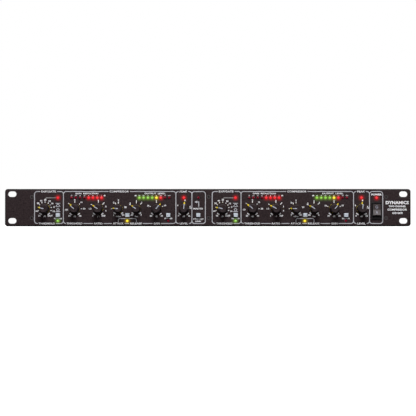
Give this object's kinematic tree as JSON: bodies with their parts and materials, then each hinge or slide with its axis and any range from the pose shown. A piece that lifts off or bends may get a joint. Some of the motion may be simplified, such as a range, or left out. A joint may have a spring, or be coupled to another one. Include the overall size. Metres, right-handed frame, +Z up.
{
  "type": "rack compressor",
  "caption": "One-unit rack-mount audio compressor and gate: black panel with pointer knobs, push buttons, lamp meters and a power rocker.",
  "frame": {"origin": "middle of the bottom of the whole box, which is the bottom edge of the front panel and the case's underside", "axes": "+Z up; -Y towards the front panel's side; +X to the right seen from the front"},
  "size_m": [0.4826, 0.2186, 0.0444],
  "materials": {
    "panel_paint": "brown-black, fine texture, satin",
    "case_paint": "black powder coat",
    "knob_plastic": "moulded black, satin",
    "button_plastic": "light grey, satin",
    "switch_plastic": "moulded black",
    "connector_plastic": "moulded black",
    "circuit_board": "green solder mask",
    "transformer_windings": "yellow polyester tape over copper",
    "steel": "zinc plated",
    "black_steel": "black oxide",
    "aluminium": "plain extrusion",
    "pointer_yellow": "bright yellow, satin",
    "print_white": "light grey screen print",
    "led_red": "diffused red lens",
    "led_green": "diffused green lens",
    "led_yellow": "diffused yellow lens"
  },
  "bodies": {
    "chassis": {"front_panel": "panel_paint", "power_switch_body": "switch_plastic", "control_board_a": "circuit_board", "control_board_b": "circuit_board", "main_board": "circuit_board", "chassis_tray": "case_paint", "top_cover": "case_paint", "rear_panel": "case_paint", "input_xlr_a": "connector_plastic", "output_xlr_a": "connector_plastic", "input_xlr_b": "connector_plastic", "output_xlr_b": "connector_plastic", "sidechain_jack_a": "connector_plastic", "sidechain_jack_b": "connector_plastic", "mains_inlet": "connector_plastic", "toroidal_transformer": "transformer_windings", "transformer_bolt": "steel", "heatsink": "aluminium", "panel_screw_1": "black_steel", "panel_screw_2": "black_steel", "panel_screw_3": "black_steel", "panel_screw_4": "black_steel", "panel_screw_5": "black_steel", "panel_screw_6": "black_steel"},
    "gate_threshold_a_control": {"knob_gate_threshold_a": "knob_plastic", "shaft_gate_threshold_a": "steel"},
    "threshold_a_control": {"knob_threshold_a": "knob_plastic", "shaft_threshold_a": "steel"},
    "ratio_a_control": {"knob_ratio_a": "knob_plastic", "shaft_ratio_a": "steel"},
    "attack_a_control": {"knob_attack_a": "knob_plastic", "shaft_attack_a": "steel"},
    "release_a_control": {"knob_release_a": "knob_plastic", "shaft_release_a": "steel"},
    "gain_a_control": {"knob_gain_a": "knob_plastic", "shaft_gain_a": "steel"},
    "peak_level_a_control": {"knob_peak_level_a": "knob_plastic", "shaft_peak_level_a": "steel"},
    "gate_threshold_b_control": {"knob_gate_threshold_b": "knob_plastic", "shaft_gate_threshold_b": "steel"},
    "threshold_b_control": {"knob_threshold_b": "knob_plastic", "shaft_threshold_b": "steel"},
    "ratio_b_control": {"knob_ratio_b": "knob_plastic", "shaft_ratio_b": "steel"},
    "attack_b_control": {"knob_attack_b": "knob_plastic", "shaft_attack_b": "steel"},
    "release_b_control": {"knob_release_b": "knob_plastic", "shaft_release_b": "steel"},
    "gain_b_control": {"knob_gain_b": "knob_plastic", "shaft_gain_b": "steel"},
    "peak_level_b_control": {"knob_peak_level_b": "knob_plastic", "shaft_peak_level_b": "steel"},
    "gate_release_a_button": {"button_gate_release_a": "button_plastic"},
    "auto_a_button": {"button_auto_a": "button_plastic"},
    "bypass_a_button": {"button_bypass_a": "button_plastic"},
    "gate_release_b_button": {"button_gate_release_b": "button_plastic"},
    "auto_b_button": {"button_auto_b": "button_plastic"},
    "bypass_b_button": {"button_bypass_b": "button_plastic"},
    "stereo_link_button": {"button_stereo_link": "button_plastic"},
    "power_rocker": {"power_rocker": "switch_plastic"}
  },
  "joints": [
    {"name": "gate_threshold_a_turn", "type": "hinge", "parent": "chassis", "child": "gate_threshold_a_control", "pos_m": [-0.1939, -0.09625, 0.021], "axis": [0, 1, 0], "range_deg": [-65, 221]},
    {"name": "threshold_a_turn", "type": "hinge", "parent": "chassis", "child": "threshold_a_control", "pos_m": [-0.1581, -0.09625, 0.021], "axis": [0, 1, 0], "range_deg": [-93, 193]},
    {"name": "ratio_a_turn", "type": "hinge", "parent": "chassis", "child": "ratio_a_control", "pos_m": [-0.1302, -0.09625, 0.021], "axis": [0, 1, 0], "range_deg": [-84, 202]},
    {"name": "attack_a_turn", "type": "hinge", "parent": "chassis", "child": "attack_a_control", "pos_m": [-0.1063, -0.09625, 0.021], "axis": [0, 1, 0], "range_deg": [-56, 230]},
    {"name": "release_a_turn", "type": "hinge", "parent": "chassis", "child": "release_a_control", "pos_m": [-0.0849, -0.09625, 0.021], "axis": [0, 1, 0], "range_deg": [-86, 200]},
    {"name": "gain_a_turn", "type": "hinge", "parent": "chassis", "child": "gain_a_control", "pos_m": [-0.0611, -0.09625, 0.021], "axis": [0, 1, 0], "range_deg": [-182, 104]},
    {"name": "peak_level_a_turn", "type": "hinge", "parent": "chassis", "child": "peak_level_a_control", "pos_m": [-0.0285, -0.09625, 0.021], "axis": [0, 1, 0], "range_deg": [-149, 137]},
    {"name": "gate_threshold_b_turn", "type": "hinge", "parent": "chassis", "child": "gate_threshold_b_control", "pos_m": [0.0173, -0.09625, 0.021], "axis": [0, 1, 0], "range_deg": [-65, 221]},
    {"name": "threshold_b_turn", "type": "hinge", "parent": "chassis", "child": "threshold_b_control", "pos_m": [0.0531, -0.09625, 0.021], "axis": [0, 1, 0], "range_deg": [-93, 193]},
    {"name": "ratio_b_turn", "type": "hinge", "parent": "chassis", "child": "ratio_b_control", "pos_m": [0.081, -0.09625, 0.021], "axis": [0, 1, 0], "range_deg": [-84, 202]},
    {"name": "attack_b_turn", "type": "hinge", "parent": "chassis", "child": "attack_b_control", "pos_m": [0.1049, -0.09625, 0.021], "axis": [0, 1, 0], "range_deg": [-56, 230]},
    {"name": "release_b_turn", "type": "hinge", "parent": "chassis", "child": "release_b_control", "pos_m": [0.1263, -0.09625, 0.021], "axis": [0, 1, 0], "range_deg": [-86, 200]},
    {"name": "gain_b_turn", "type": "hinge", "parent": "chassis", "child": "gain_b_control", "pos_m": [0.1501, -0.09625, 0.021], "axis": [0, 1, 0], "range_deg": [-182, 104]},
    {"name": "peak_level_b_turn", "type": "hinge", "parent": "chassis", "child": "peak_level_b_control", "pos_m": [0.1827, -0.09625, 0.021], "axis": [0, 1, 0], "range_deg": [-149, 137]},
    {"name": "gate_release_a_press", "type": "slide", "parent": "chassis", "child": "gate_release_a_button", "axis": [0, 1, 0], "range_m": [0, 0.002], "stiffness_N_per_m": 500, "springref_m": -0.001},
    {"name": "auto_a_press", "type": "slide", "parent": "chassis", "child": "auto_a_button", "axis": [0, 1, 0], "range_m": [0, 0.002], "stiffness_N_per_m": 500, "springref_m": -0.001},
    {"name": "bypass_a_press", "type": "slide", "parent": "chassis", "child": "bypass_a_button", "axis": [0, 1, 0], "range_m": [0, 0.002], "stiffness_N_per_m": 500, "springref_m": -0.001},
    {"name": "gate_release_b_press", "type": "slide", "parent": "chassis", "child": "gate_release_b_button", "axis": [0, 1, 0], "range_m": [0, 0.002], "stiffness_N_per_m": 500, "springref_m": -0.001},
    {"name": "auto_b_press", "type": "slide", "parent": "chassis", "child": "auto_b_button", "axis": [0, 1, 0], "range_m": [0, 0.002], "stiffness_N_per_m": 500, "springref_m": -0.001},
    {"name": "bypass_b_press", "type": "slide", "parent": "chassis", "child": "bypass_b_button", "axis": [0, 1, 0], "range_m": [0, 0.002], "stiffness_N_per_m": 500, "springref_m": -0.001},
    {"name": "stereo_link_press", "type": "slide", "parent": "chassis", "child": "stereo_link_button", "axis": [0, 1, 0], "range_m": [0, 0.002], "stiffness_N_per_m": 500, "springref_m": -0.001},
    {"name": "power_rocker_tilt", "type": "hinge", "parent": "chassis", "child": "power_rocker", "pos_m": [0.2007, -0.09545, 0.0191], "axis": [1, 0, 0], "range_deg": [0, 22]}
  ]
}
